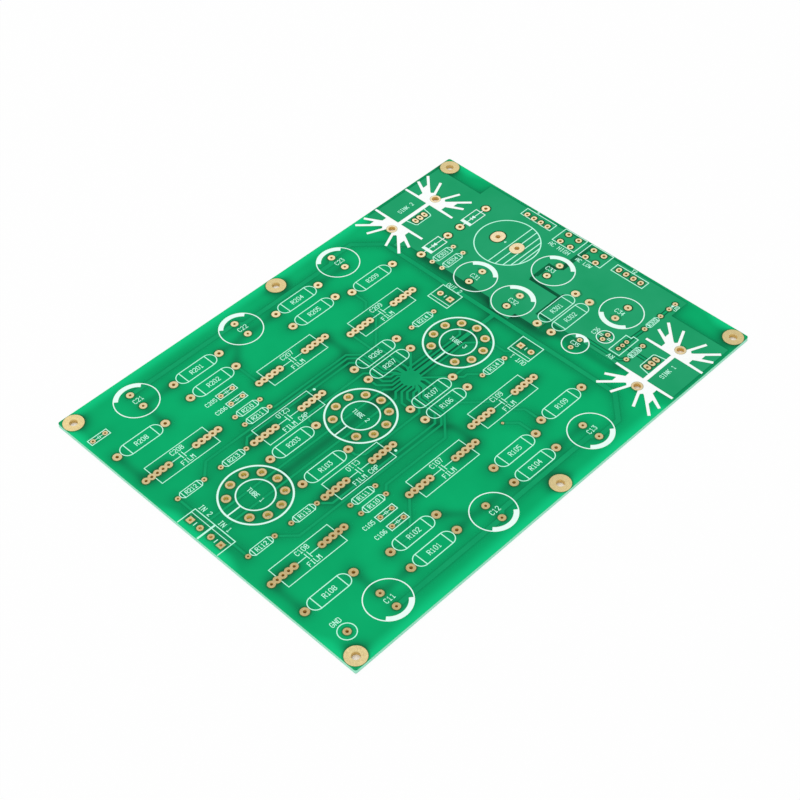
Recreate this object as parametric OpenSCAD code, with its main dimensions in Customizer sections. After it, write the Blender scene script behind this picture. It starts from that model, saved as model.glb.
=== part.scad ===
// Bare circuit board for a two-channel, three-tube preamplifier with its own
// high-voltage supply. It is a glass-epoxy laminate under green solder mask, with
// copper on both faces, plated holes with tinned lands, and white printed outlines
// that show where each component will be soldered. No component is fitted.
// Origin: centre of the underside. X runs from the input edge to the supply edge,
// Y runs from channel 1 to channel 2, and Z points out of the component side.

/* [Board] */
// Length of the board from the input edge to the supply edge
board_l = 203.2; // [201:0.2:225]
// Width of the board across both channels
board_w = 152.4; // [152:0.2:175]
// Thickness of the laminate with its mask
board_t = 1.6; // [0.8:0.1:3.2]
// Radius of the board's corners
corner_r = 1; // [0.2:0.1:2]

/* [Layers] */
// Thickness of the copper foil
copper_t = 0.07; // [0.035:0.005:0.14]
// Height of a tinned land above the mask
land_rise = 0.05; // [0.02:0.01:0.1]
// Wall of the plating inside a hole
plating = 0.05; // [0.025:0.005:0.08]
// Ring of bare laminate between a land and the mask
mask_gap = 0.1; // [0.05:0.01:0.14]
// Thickness of the white print
ink_t = 0.05; // [0.02:0.01:0.1]
// How far the whole print sits off the holes, across the board
ink_off = 0; // [-0.2:0.05:0.3]
// Width of a hair line in the print
hair_line = 0.25; // [0.15:0.05:0.3]
// Width of a fine line in the print
fine_line = 0.35; // [0.3:0.05:0.5]
// Width of a bold line in the print
bold_line = 0.7; // [0.5:0.05:0.9]

/* [Tracks] */
// Width of a signal track
track_w = 0.9; // [0.5:0.05:1]
// Width of a high-voltage rail
rail_w = 1.8; // [1.2:0.1:2.2]
// Width of a track on the underside
under_w = 2.2; // [1:0.1:2.4]
// Radius of the round star point where all grounds meet
star_r = 3.9; // [3.5:0.1:4.2]
// Gap between a copper pour and anything it must not touch
pour_gap = 0.5; // [0.3:0.05:0.7]

/* [Mounting holes] */
// Distance of the mounting holes from the board's edges
mount_inset = 4.1; // [4.1:0.1:5.5]
// Diameter of a mounting hole
mount_hole = 3.2; // [2.2:0.1:4.2]
// Diameter of the land round a mounting hole
mount_land = 7.9; // [6:0.1:8]
// Offset of the middle pair of mounting holes from the board's centre
mid_mount_x = 0.5; // [-1:0.1:1.5]

/* [Tube sockets] */
// Centre of the first tube socket
first_socket_x = -75; // [-75.5:0.1:-74.5]
// Distance from one socket to the next
socket_pitch = 50.5; // [49.9:0.1:51]
// Diameter of the circle of pins
pin_circle = 20.3; // [19.8:0.1:20.8]
// Diameter of a socket pin hole
socket_hole = 2; // [1.2:0.1:2.4]
// Diameter of the land round a socket pin hole
socket_land = 3.5; // [3:0.1:3.6]
// Outside diameter of the printed socket ring
socket_ring = 26.9; // [26.2:0.1:27]
// Outside diameter of the printed ring inside the pins
socket_core = 14.4; // [12:0.1:15]

/* [Resistors] */
// Distance between the leads of a power resistor
power_pitch = 21.9; // [21.5:0.1:22.3]
// Length of a power resistor's printed body
power_body_l = 18.3; // [16:0.1:18.4]
// Diameter of a power resistor's printed body
power_body_d = 6.2; // [5:0.1:6.4]
// Distance between the two bands across a power resistor
power_bands = 12.2; // [10:0.1:12.6]
// Diameter of a power resistor's hole
power_hole = 1.3; // [0.8:0.1:1.6]
// Diameter of a power resistor's land
power_land = 3.4; // [2.6:0.1:3.5]
// Distance between the leads of a small resistor
small_pitch = 11.9; // [11.6:0.1:12.2]
// Length of a small resistor's printed body
small_body_l = 9.7; // [9.2:0.1:9.8]
// Width of a small resistor's printed body
small_body_w = 3.5; // [2.6:0.1:3.6]
// Distance between the leads of the two shortest resistors
short_pitch = 9.4; // [9:0.1:9.8]
// Length of the shortest resistor's printed body
short_body_l = 7; // [6:0.1:7.2]
// Diameter of a small component's hole
small_hole = 0.8; // [0.5:0.1:1]
// Diameter of a small component's land
small_land = 2; // [1.6:0.1:2.1]

/* [Film capacitors] */
// Distance between the middles of a film capacitor's two rows of holes
film_span = 22.8; // [22.4:0.1:23.2]
// Distance from hole to hole in a row
row_pitch = 2.54; // [2.4:0.01:2.6]
// Length of a film capacitor's printed box
film_box_l = 26.9; // [25:0.1:27]
// Width of a film capacitor's printed box
film_box_w = 10.2; // [8:0.1:10.4]
// Diameter of a film capacitor's hole
film_hole = 1.1; // [0.8:0.1:1.4]
// Diameter of a film capacitor's land
film_land = 2.95; // [2:0.05:3]
// Distance between a ceramic capacitor's leads
ceramic_pitch = 5.5; // [5:0.1:5.6]
// Length of a ceramic capacitor's printed box
ceramic_box_l = 8.6; // [8.4:0.1:8.8]
// Width of a ceramic capacitor's printed box
ceramic_box_w = 3.1; // [3:0.1:3.4]

/* [Electrolytic capacitors] */
// Diameter of a tall electrolytic can
can_d = 17.3; // [15:0.1:17.4]
// Distance between a tall can's leads
can_pitch = 7.5; // [6.8:0.1:8]
// Depth of the solid polarity arc
arc_depth = 1.95; // [1.2:0.05:2.1]
// Diameter of a can's hole
can_hole = 1; // [0.8:0.1:1.4]
// Diameter of a can's land
can_land = 2.9; // [2.2:0.1:3]
// Diameter of the small can
small_can_d = 10.6; // [10:0.1:11]
// Distance between the small can's leads
small_can_pitch = 5.1; // [4.8:0.1:5.4]
// Diameter of the round film capacitor beside the trimmer
bead_d = 6.9; // [6.6:0.1:7.2]
// Distance between its leads
bead_pitch = 3; // [2.8:0.1:3.2]
// Diameter of the big reservoir can
reservoir_d = 26.7; // [24:0.1:27]
// Distance between the reservoir can's leads
reservoir_pitch = 10; // [9.4:0.1:10.6]
// Diameter of the reservoir can's hole
reservoir_hole = 2; // [1.4:0.1:2.6]

/* [Heatsinks and semiconductors] */
// Distance between the two pins of a heatsink
sink_pins = 24.9; // [24.5:0.1:25.3]
// Diameter of a heatsink pin's hole
sink_hole = 2.8; // [2:0.1:3]
// Diameter of a heatsink pin's land
sink_land = 4.3; // [3.8:0.1:4.6]
// Thickness of the heatsink's cross plate
sink_plate = 1.7; // [1.2:0.1:2]
// Height of the heatsink's outline from the cross plate to a fin's tip
sink_reach = 13; // [12.4:0.1:13]
// Distance from the cross plate's middle to the transistor's leads
transistor_set = 3.4; // [3.3:0.05:3.7]
// Distance between a transistor's leads
transistor_pitch = 2.54; // [2.4:0.01:2.6]
// Distance between a rectifier's leads
diode_pitch = 15.1; // [14.8:0.1:15.4]
// Length of a rectifier's printed body
diode_body_l = 9.4; // [8:0.1:9.8]
// Width of a rectifier's printed body
diode_body_w = 5.2; // [4:0.1:5.6]
// Diameter of a rectifier's hole
diode_hole = 1.4; // [1:0.1:1.6]

/* [Connections] */
// Distance between the two holes of a signal terminal
terminal_pitch = 5.05; // [4.9:0.05:5.2]
// Distance of the input terminals' holes from the input edge
input_inset = 3.9; // [3.5:0.1:4.3]
// Distance between the holes of a transformer strip
strip_pitch = 3.55; // [3.4:0.05:3.7]
// Distance between the holes of a supply block
block_pitch = 5.1; // [4.9:0.1:5.3]
// Distance of the strips' holes from the supply edge
strip_inset = 4.4; // [4.2:0.1:4.6]
// Diameter of a terminal's hole
terminal_hole = 1.2; // [0.9:0.1:1.4]
// Diameter of a terminal's land
terminal_land = 2.5; // [2:0.1:2.6]
// Distance between the trimmer's leads
trimmer_pitch = 2.4; // [2.3:0.1:2.5]
// Distance between the pilot lamp's leads
lamp_pitch = 3.7; // [3.4:0.1:3.9]

/* [Hidden] */

mask_green = [0.03, 0.55, 0.34];
track_green = [0.10, 0.66, 0.42];
pour_green = [0.12, 0.60, 0.38];
tinned = [0.85, 0.71, 0.50];
ink_white = [0.95, 1.0, 0.97];

edge_x = board_l / 2;
edge_y = board_w / 2;
chunk = 1; // how far a cutting shape passes the face it cuts
hole_fn = 32;
ring_fn = 96;
thin_line = (fine_line + hair_line) / 2;

// Channel 2 mirrors channel 1 about the X axis, so a side is 1 or -1.
SIDES = [1, -1];

// Column of a socket, and of the middle of the gap after it
function stage_x(i) = first_socket_x + i * socket_pitch;
function gap_x(i) = stage_x(i) + socket_pitch / 2;

// The two ends of a lead pair laid along X or Y about a middle
function pair_x(at, pitch) = [for (s = [-1, 1]) [at.x + s * pitch / 2, at.y]];
function pair_y(at, pitch) = [for (s = [-1, 1]) [at.x, at.y + s * pitch / 2]];
function row_x(at, pitch, count) =
    [for (i = [0:count - 1]) [at.x + (i - (count - 1) / 2) * pitch, at.y]];
function row_y(at, pitch, count) =
    [for (i = [0:count - 1]) [at.x, at.y + (i - (count - 1) / 2) * pitch]];
function flat(lists) = [for (list = lists) for (item = list) item];
function both_sides(points) = [for (s = SIDES) for (p = points) [p.x, s * p.y]];

// Where each component sits

power_at = concat(
    both_sides([
        [gap_x(0), 60.4], [gap_x(0), 50.9], [gap_x(0), 8.2],
        [gap_x(1), 60.4], [gap_x(1), 50.9], [gap_x(1), 18], [gap_x(1), 10.7],
        [stage_x(0) - 11, 48], [stage_x(2) + 2.8, 48],
    ]),
    [[64.5, -14.6], [64.5, -21.5]]
);
small_at = concat(
    both_sides([
        [gap_x(0) - 0.2, 32.1], [gap_x(0) - 0.2, 26.9],
        [stage_x(0) - 13.6, 18], [stage_x(0) + 5.9, 18], [stage_x(2) - 0.3, 18],
    ]),
    [[57.2, 37.6], [57.2, 32.4]]
);
short_at = [[83.2, -45.7], [66.4, -50.8]];
film_at = concat(
    both_sides([
        [stage_x(1) + 2.2, 38.2], [stage_x(0) - 5.5, 32.1], [gap_x(0) + 6.8, 18],
    ]),
    [[stage_x(2) - 7.9, 32.1], [stage_x(2) - 10.7, -32.1]]
);
dot_at = [[gap_x(0) + 22.6, 21.4], [gap_x(0) + 22, -20.7]];
ceramic_at = concat(
    both_sides([[gap_x(0) - 0.1, 43.6], [gap_x(0) - 0.1, 38]]),
    [[-95.5, 60]]
);
// A can is [middle, direction of its polarity arc in degrees].
channel_cans = [for (i = [0:2]) for (s = SIDES) [[stage_x(i), s * 64.1], s * 90]];
supply_cans = [
    [[56.6, 19.6], 0], [[56.4, 0], 0], [[79.4, 0], 0], [[79.3, -34], 180],
];
small_can_at = [55.1, -31.9];
bead_at = [65.3, -37.7];
reservoir_at = [79.4, 23.8];
sink_at = [[66.6, 62.6], [66.4, -62.2]];
diode_at = [[58.9, 43.7], [81, 43.7]];
trimmer_at = [66.3, -45.2];
lamp_at = [edge_x - 6.75, -45.7];
ground_at = [-92.9, -63.4];
via_at = [7.4, -39.1];
input_at = [for (s = SIDES) [-edge_x + input_inset, s * 5.3]];
output_at = [for (s = SIDES) [40.6, s * 20.5]];
strip_at = [[edge_x - strip_inset, 23.9], [edge_x - strip_inset - 0.3, -23.5]];
block_at = [[edge_x - strip_inset - 0.5, 6.7], [edge_x - strip_inset - 0.8, -6.4]];

// Lands: every kind is [points, hole diameter, land size, how many of the first
// points have a square land]

mount_points = concat(
    [for (sx = [-1, 1]) for (sy = SIDES)
        [sx * (edge_x - mount_inset), sy * (edge_y - mount_inset)]],
    [for (sy = SIDES) [mid_mount_x, sy * (edge_y - mount_inset)]]
);
// Nine pins on ten equal places: the place that faces the input edge is empty.
function socket_points(i) =
    [for (k = [-4:4]) [stage_x(i) + pin_circle / 2 * cos(36 * k),
                       pin_circle / 2 * sin(36 * k)]];
function can_points(can, pitch) =
    [for (s = [-1, 1]) can[0] + s * pitch / 2 * [cos(can[1]), sin(can[1])]];

mount_kind = [mount_points, mount_hole, [mount_land, mount_land], 0];
socket_kinds = [for (i = [0:2])
    [socket_points(i), socket_hole, [socket_land, socket_land], 0]];
power_kind = [flat([for (at = power_at) pair_x(at, power_pitch)]),
              power_hole, [power_land, power_land], 0];
short_points = flat([for (at = short_at) pair_x(at, short_pitch)]);
small_kind = [concat(flat([for (at = small_at) pair_x(at, small_pitch)]), short_points),
              small_hole, [small_land, small_land], 0];
film_kind = [flat([for (at = film_at) for (s = [-1, 1])
                 row_x([at.x + s * film_span / 2, at.y], row_pitch, 5)]),
             film_hole, [film_land, film_land], 0];
ceramic_kind = [flat([for (at = ceramic_at) pair_x(at, ceramic_pitch)]),
                small_hole, [small_land, small_land], 0];
channel_can_kind = [flat([for (can = channel_cans) can_points(can, can_pitch)]),
                    can_hole, [can_land, can_land], 0];
tall_supply_points = flat([for (can = supply_cans) can_points(can, can_pitch)]);
supply_can_kind = [tall_supply_points, can_hole, [can_land, can_land], 0];
bead_leads = pair_x(bead_at, bead_pitch);
bead_points = concat(pair_x(small_can_at, small_can_pitch), bead_leads);
bead_kind = [bead_points, small_hole, [small_land, small_land], 0];
reservoir_points = pair_y(reservoir_at, reservoir_pitch);
reservoir_kind = [reservoir_points, reservoir_hole, [6.4, 5.4], 0];
sink_kind = [flat([for (at = sink_at) pair_x(at, sink_pins)]),
             sink_hole, [sink_land, sink_land], 0];
transistor_points = flat([for (at = sink_at)
    row_x([at.x, at.y - sign(at.y) * transistor_set], transistor_pitch, 3)]);
transistor_kind = [transistor_points, 1, [1.95, 3], 0];
diode_points = flat([for (at = diode_at) pair_x(at, diode_pitch)]);
diode_kind = [diode_points, diode_hole, [power_land, power_land], 0];
// The outer hole of each input, and the inner hole of each output, has a square land.
input_kind = [concat([for (at = input_at) at + [0, sign(at.y) * terminal_pitch / 2]],
                     [for (at = input_at) at - [0, sign(at.y) * terminal_pitch / 2]]),
              terminal_hole, [terminal_land, terminal_land], 2];
output_kind = [concat([for (at = output_at) at - [0, sign(at.y) * terminal_pitch / 2]],
                      [for (at = output_at) at + [0, sign(at.y) * terminal_pitch / 2]]),
               terminal_hole, [terminal_land, terminal_land], 2];
strip_points = flat([for (at = strip_at) row_y(at, strip_pitch, 4)]);
strip_kind = [strip_points, 1.1, [2.6, 2.1], 0];
block_points = flat([for (at = block_at) for (s = [-1, 1])
    pair_x([at.x, at.y + s * block_pitch / 2], block_pitch)]);
block_kind = [block_points, terminal_hole, [terminal_land, terminal_land], 0];
trimmer_points = row_x(trimmer_at, trimmer_pitch, 3);
trimmer_kind = [trimmer_points, small_hole, [1.7, 1.7], 0];
lamp_points = pair_x(lamp_at, lamp_pitch);
lamp_kind = [lamp_points, small_hole, [small_land, small_land], 0];
ground_kind = [[ground_at], terminal_hole, [2.9, 2.9], 0];
via_kind = [[via_at], 0.4, [1, 1], 0];

KINDS = concat(
    [mount_kind], socket_kinds,
    [power_kind, small_kind, film_kind, ceramic_kind, channel_can_kind,
     supply_can_kind, bead_kind, reservoir_kind, sink_kind, transistor_kind,
     diode_kind, input_kind, output_kind, strip_kind, block_kind, trimmer_kind,
     lamp_kind, ground_kind, via_kind]
);

// Flat shapes

module stadium(size) {
    d = min(size.x, size.y);
    if (size.x == size.y) {
        circle(d = d, $fn = hole_fn);
    } else {
        run = [(size.x - d) / 2, (size.y - d) / 2];
        for (s = [-1, 1]) translate(s * run) circle(d = d, $fn = hole_fn);
        square([max(size.x - d, size.x > size.y ? 0 : d),
                max(size.y - d, size.y > size.x ? 0 : d)], center = true);
    }
}

module ring(d, w) {
    difference() {
        circle(d = d, $fn = ring_fn);
        circle(d = d - 2 * w, $fn = ring_fn);
    }
}

module frame(size, w) {
    difference() {
        square(size, center = true);
        square([size.x - 2 * w, size.y - 2 * w], center = true);
    }
}

module bar(from, to, w) {
    run = to - from;
    translate(from) rotate(atan2(run.y, run.x)) translate([0, -w / 2])
        square([norm(run), w]);
}

// A track is one closed outline: its route moved half a width to each side, with
// every bend mitred.
function unit(v) = v / norm(v);
function left_of(v) = [-v.y, v.x];
function mitre(a, b, c, half) =
    let (n1 = a == undef ? left_of(unit(c - b)) : left_of(unit(b - a)),
         n2 = c == undef ? n1 : left_of(unit(c - b)),
         m = n1 + n2)
    b + m * 2 * half / (m * m);
function one_side(route, half) =
    [for (i = [0:len(route) - 1])
        mitre(i == 0 ? undef : route[i - 1], route[i],
              i == len(route) - 1 ? undef : route[i + 1], half)];
function backwards(list) = [for (i = [len(list) - 1:-1:0]) list[i]];
function ribbon(route, w) =
    concat(one_side(route, w / 2), backwards(one_side(route, -w / 2)));

module tracks(routes, w) {
    for (route = routes) polygon(ribbon(route, w));
}

// The flat outline of every land of a kind, grown or shrunk by a margin
module lands(kind, margin = 0) {
    for (i = [0:len(kind[0]) - 1]) translate(kind[0][i]) {
        if (i < kind[3]) {
            square([kind[2].x + 2 * margin, kind[2].y + 2 * margin], center = true);
        } else {
            stadium([kind[2].x + 2 * margin, kind[2].y + 2 * margin]);
        }
    }
}

module all_lands(margin) {
    for (kind = KINDS) lands(kind, margin);
}

// Plated holes: a barrel through the board, with a land on each face. The lower
// land lies flush, so the board still rests on its own underside.
module plated(kind) {
    color(tinned) difference() {
        union() {
            linear_extrude(copper_t) lands(kind);
            translate([0, 0, board_t - copper_t])
                linear_extrude(copper_t + land_rise) lands(kind);
            for (p = kind[0]) translate(p)
                cylinder(d = kind[1] + 2 * plating, h = board_t, $fn = hole_fn);
        }
        for (p = kind[0]) translate([p.x, p.y, -chunk])
            cylinder(d = kind[1], h = board_t + 2 * chunk, $fn = hole_fn);
    }
}

// Print: white ink on the component side, kept off the lands of its own kind
module printed(kind) {
    color(ink_white) translate([0, 0, board_t]) linear_extrude(ink_t)
        difference() {
            translate([0, ink_off]) children();
            lands(kind, mask_gap);
        }
}

// Copper tracks on the component side

function power_pad(i, s) = [power_at[i].x + s * power_pitch / 2, power_at[i].y];
function film_pad(at, s, k) = [at.x + s * film_span / 2 + k * row_pitch, at.y];
function swap(p, s) = [p.x, s * abs(p.y)];
star_at = [0.8, 0];
rail_x = 45.9;
can_lead = 64.1 + can_pitch / 2;

// Tracks that both channels have, drawn for the side s
function channel_routes(s) = [
    // input terminal, past all three sockets' inner rings, to the star point
    [[-edge_x + input_inset, s * (5.3 - terminal_pitch / 2)], [-96, s * 3.1],
     [-10, s * 3.1], [-7.7, s * 0.8], [-2, s * 0.8]],
    // grid leak resistor up from the outer input hole
    [[-edge_x + input_inset, s * (5.3 + terminal_pitch / 2)],
     [stage_x(0) - 19.55, s * 10.8], [stage_x(0) - 19.55, s * 18]],
    // first anode load, back to the star point
    [[gap_x(1) - power_pitch / 2, s * 10.7], [gap_x(1) - power_pitch / 2, s * 6.4],
     [-6.2, s * 2.4], [-2, s * 2.4]],
    [[gap_x(0) + power_pitch / 2, s * 8.2], [gap_x(0) + power_pitch / 2, s * 11.8],
     [-36.3, s * 14.2], [-9.3, s * 14.2], [-7.3, s * 12.2], [-7.3, s * 6.3],
     [-5, s * 4], [-1.8, s * 4], [0, s * 2.2]],
    // three nested lines from the first stage
    [[stage_x(0) + 11.85, s * 18], [-59.4, s * 21.8], [-9.1, s * 21.8],
     [-5.7, s * 18.4], [-5.7, s * 7.9], [-3.6, s * 5.8], [-2, s * 5.8],
     [0, s * 3.8], [0, s * 2]],
    [[stage_x(0) - 7.65, s * 18], [-76.8, s * 23.9], [-8, s * 23.9],
     [-4.2, s * 20.1], [-4.2, s * 9.3], [-0.9, s * 6], [0.3, s * 3]],
    // line under the coupling capacitor to the output stage
    [[stage_x(2) - 8.15, s * 48], [17.8, s * 40.4], [14.7, s * 37.3],
     [14.7, s * 31.8], [3.8, s * 20.9], [3.8, s * 4.5], [2.5, s * 2.5]],
    [[gap_x(1) + power_pitch / 2, s * 10.7], [4.9, s * 3.9], [3.5, s * 2.5]],
];

signal_routes = concat(
    channel_routes(1),
    channel_routes(-1),
    [
        // cathode lines of the first stage
        [[gap_x(0) + 5.75, 26.9], [-42.7, 25.6], [-7.1, 25.6], [-2.7, 21.2],
         [-2.7, 10], [0.7, 6.6], [0.9, 3]],
        [[gap_x(0) + 5.75, -32.1], [-41, -29.2], [-11.6, -29.2], [-2.7, -20.3],
         [-2.7, -10], [0.7, -6.6], [0.9, -3]],
        // coupling capacitor straight down to the star point
        [[stage_x(2) - 7.9 - film_span / 2 - 2 * row_pitch, 32.1], [1.6, 30],
         [1.6, 2.5]],
        [[1.6, -2.5], [1.6, -9]],
        // third socket
        [[3, 4.2], [15.9, 4.2], [17.9, 6]],
        [[4, 2.4], [29.5, 2.4], [33.2, 6.1]],
        [[4, -1.9], [27.5, -1.9], [31.5, -5.9]],
        [[34.3, -6], [34.3, -15.7], [36.6, -18], [40.6, -18]],
        [[gap_x(1) + power_pitch / 2, -10.7], [21.9, -10.7], [23, -9.6]],
        [[gap_x(1) + power_pitch / 2, -10.7], [14.5, -13.6], [16.3, -13.6],
         [stage_x(2) - 6.25, -17.2], [stage_x(2) - 6.25, -18]],
        // filter resistor of channel 1, reached through a via
        [via_at, [11.6, -43.3], [11.6, -50.9]],
        // film capacitor to filter resistor
        [[stage_x(1) + 2.2 - film_span / 2 - 2 * row_pitch, 38.2], [-38.7, 50.9]],
        [[stage_x(1) + 2.2 - film_span / 2 - 2 * row_pitch, -38.2],
         [-51.3, -50.9], [gap_x(0) - power_pitch / 2, -50.9]],
    ]
);

// Wide high-voltage rails along both long edges, and down the middle of the board
rail_routes = concat(
    [[[3, 0.3], [rail_x + rail_w / 2, 0.3]]],
    [[[stage_x(2), can_lead], [36.5, can_lead], [rail_x, can_lead - rail_x + 36.5],
      [rail_x, -can_lead + rail_x - 36.5], [36.5, -can_lead], [stage_x(2), -can_lead]]],
    [for (s = SIDES) [[stage_x(1), s * can_lead], [-22, s * (can_lead - 2.5)],
                      [23.5, s * (can_lead - 2.5)], [stage_x(2), s * can_lead]]],
    [for (s = SIDES) [[stage_x(0), s * can_lead], [stage_x(1), s * can_lead]]]
);

// Short tracks that run in a slot of the supply pours
slot_routes = [
    [small_can_at + [small_can_pitch / 2, 0], [59.7, -33.7], [59.7, -48.8],
     [61.7, -50.8]],
    [trimmer_at + [trimmer_pitch, 0], short_at[0] - [short_pitch / 2, 0]],
    [short_at[0] + [short_pitch / 2, 0], lamp_at - [lamp_pitch / 2, 0]],
    [sink_at[1] + [0, transistor_set], trimmer_at],
    [diode_at[0] + [diode_pitch / 2, 0], diode_at[1] - [diode_pitch / 2, 0]],
];

module signal_copper() {
    difference() {
        union() {
            translate(star_at) circle(r = star_r, $fn = ring_fn);
            tracks(signal_routes, track_w);
            tracks(rail_routes, rail_w);
            tracks(slot_routes, track_w);
        }
        all_lands(mask_gap);
    }
}

// Two copper pours carry the supply: the upper one feeds the anodes, the lower one
// is the return. A stepped gap keeps them apart.
pour_edge = 1.4;
pour_right = edge_x - pour_edge;
pour_top = edge_y - pour_edge;
upper_pour = [
    [47.9, pour_top], [93.7, pour_top], [93.7, 51.5], [pour_right, 51.5],
    [pour_right, -0.6], [83, -0.6], [81.6, 0.8], [81.6, 4.1], [70.3, 4.1],
    [70.3, -10.7], [56.9, -10.7], [56.9, -16.8], [51.7, -16.8], [51.7, -5],
    [47.7, -5], [47.7, 4], [51.7, 8], [51.7, 50.5], [47.9, 54.5],
];
lower_pour = [
    [72.2, 2.2], [79.9, 2.2], [79.9, 0.4], [82.3, -2.7], [pour_right, -2.7],
    [pour_right, -48.5], [90.8, -48.5], [90.8, -pour_top], [41.8, -pour_top],
    [41.8, -69.9], [49.2, -62.5], [49.2, -56.7], [57.4, -48.5], [57.4, -18.3],
    [58.4, -17.3], [58.4, -12.2], [72.2, -12.2],
];
// Lands that a pour keeps clear of: they belong to another net.
hot_can_points =
    [for (can = supply_cans) can[0] - can_pitch / 2 * [cos(can[1]), sin(can[1])]];
ISOLATED = [
    transistor_kind, trimmer_kind, lamp_kind, diode_kind, strip_kind, block_kind,
    bead_kind,
    [short_points, small_hole, [small_land, small_land], 0],
    [hot_can_points, can_hole, [can_land, can_land], 0],
    [[reservoir_points[1]], reservoir_hole, reservoir_kind[2], 0],
];

module pour_copper() {
    difference() {
        union() {
            polygon(upper_pour);
            polygon(lower_pour);
        }
        all_lands(mask_gap);
        for (kind = ISOLATED) lands(kind, pour_gap);
        tracks([bead_leads, trimmer_points], small_land);
        tracks(slot_routes, track_w + 2 * pour_gap);
    }
}

// Wide tracks on the underside, which show through the laminate as darker bands
under_routes = concat(
    flat([for (s = SIDES) [
        [[stage_x(0) - 21.95, s * 32.1], [stage_x(0) - 21.95, s * 48]],
        [[stage_x(0), s * 48], [stage_x(0), s * 60.4]],
        [[stage_x(0), s * 60.4], [gap_x(0) - power_pitch / 2, s * 60.4]],
        [[gap_x(0) + power_pitch / 2, s * 60.4], [gap_x(1) - power_pitch / 2, s * 60.4]],
        [[gap_x(0) + power_pitch / 2, s * 50.9], [-29.3, s * 60.4]],
        [[gap_x(1) + power_pitch / 2, s * 60.4], [stage_x(2), s * 60.4]],
        [[stage_x(1) + 18.7, s * 38.2], [stage_x(1) + 18.7, s * 27.4],
         [gap_x(1) - power_pitch / 2, s * 22.9], [gap_x(1) - power_pitch / 2, s * 18]],
    ]]),
    [
        [[stage_x(0) + pin_circle / 2, 0], [stage_x(2) + pin_circle / 2, 0]],
        [[50.1, 43.9], [50.1, -19.6], [54.2, -23.7], [54.2, -50.8], [61.7, -50.8]],
        [reservoir_points[0], [68, 19], [68, -14.4]],
    ]
);

module under_copper() {
    difference() {
        tracks(under_routes, under_w);
        all_lands(mask_gap);
    }
}

// The board itself

module board_outline() {
    r = corner_r;
    square([board_l - 2 * r, board_w], center = true);
    square([board_l, board_w - 2 * r], center = true);
    for (sx = [-1, 1]) for (sy = [-1, 1])
        translate([sx * (edge_x - r), sy * (edge_y - r)]) circle(r = r, $fn = hole_fn);
}

module board() {
    color(mask_green) difference() {
        linear_extrude(board_t) difference() {
            board_outline();
            for (kind = KINDS) for (p = kind[0]) translate(p)
                circle(d = kind[1] + 2 * plating, $fn = hole_fn);
        }
        translate([0, 0, board_t - copper_t]) linear_extrude(copper_t + chunk) {
            all_lands(mask_gap);
            signal_copper();
            pour_copper();
        }
        translate([0, 0, -chunk]) linear_extrude(chunk + copper_t) {
            all_lands(mask_gap);
            under_copper();
        }
    }
}

module top_tracks() {
    color(track_green) translate([0, 0, board_t - copper_t])
        linear_extrude(copper_t) signal_copper();
}

module supply_pours() {
    color(pour_green) translate([0, 0, board_t - copper_t])
        linear_extrude(copper_t) pour_copper();
}

module bottom_tracks() {
    color(track_green) linear_extrude(copper_t) under_copper();
}

// Printed outlines

module socket_outline(i) {
    printed(socket_kinds[i]) translate([stage_x(i), 0]) {
        ring(socket_ring, bold_line);
        ring(socket_core, (fine_line + bold_line) / 2);
        bar([-socket_ring / 2 + bold_line / 2, 0],
            [-socket_core / 2 + fine_line / 2, 0], (fine_line + bold_line) / 2);
    }
}

module power_resistor_outlines() {
    body = [power_body_l, power_body_d];
    printed(power_kind) for (at = power_at) translate(at) {
        difference() {
            stadium(body);
            stadium([body.x - 2 * fine_line, body.y - 2 * fine_line]);
        }
        for (s = [-1, 1]) translate([s * power_bands / 2, 0])
            square([fine_line, body.y], center = true);
    }
}

// A long box with its four corners cut off
module cut_box(l, w, cut) {
    polygon([
        [-l / 2 + cut, -w / 2], [l / 2 - cut, -w / 2], [l / 2, -w / 2 + cut],
        [l / 2, w / 2 - cut], [l / 2 - cut, w / 2], [-l / 2 + cut, w / 2],
        [-l / 2, w / 2 - cut], [-l / 2, -w / 2 + cut],
    ]);
}

module resistor_body(l, w, line) {
    cut = 1;
    difference() {
        cut_box(l, w, cut);
        cut_box(l - 2 * line, w - 2 * line, cut - line * (2 - sqrt(2)));
    }
    for (s = [-1, 1]) translate([s * (l / 2 - 1.2), 0])
        square([line, w], center = true);
}

module small_resistor_outlines() {
    printed(small_kind) {
        for (at = small_at) translate(at)
            resistor_body(small_body_l, small_body_w, thin_line);
        for (at = short_at) translate(at)
            resistor_body(short_body_l, small_body_w - 0.9, hair_line);
    }
}

// Two plates side by side, with a lead going out from each
module capacitor_sign(plate_gap, plate_h, reach, line) {
    for (s = [-1, 1]) {
        translate([s * plate_gap / 2, 0]) square([line, plate_h], center = true);
        bar([s * plate_gap / 2, 0], [s * reach, 0], line);
    }
}

module film_capacitor_outlines() {
    printed(film_kind) {
        for (at = film_at) translate(at) {
            frame([film_box_l, film_box_w], thin_line);
            capacitor_sign(1.2, 3, film_span / 2 - 2 * row_pitch, thin_line);
        }
        for (at = dot_at) translate(at) circle(d = 1.1, $fn = hole_fn);
    }
}

module ceramic_capacitor_outlines() {
    printed(ceramic_kind) for (at = ceramic_at) translate(at) {
        frame([ceramic_box_l, ceramic_box_w], fine_line);
        capacitor_sign(0.6, 1.3, ceramic_pitch / 2, hair_line);
    }
}

// A ring with a solid arc on the side of the negative lead
module can_ring(d, depth, half_angle) {
    ring(d, fine_line + 0.05);
    intersection() {
        ring(d, depth);
        polygon([[0, 0], d * [cos(half_angle), -sin(half_angle)],
                 d * [cos(half_angle), sin(half_angle)]]);
    }
}

module channel_can_outlines() {
    printed(channel_can_kind) for (can = channel_cans)
        translate(can[0]) rotate(can[1]) can_ring(can_d, arc_depth, 51);
}

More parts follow.
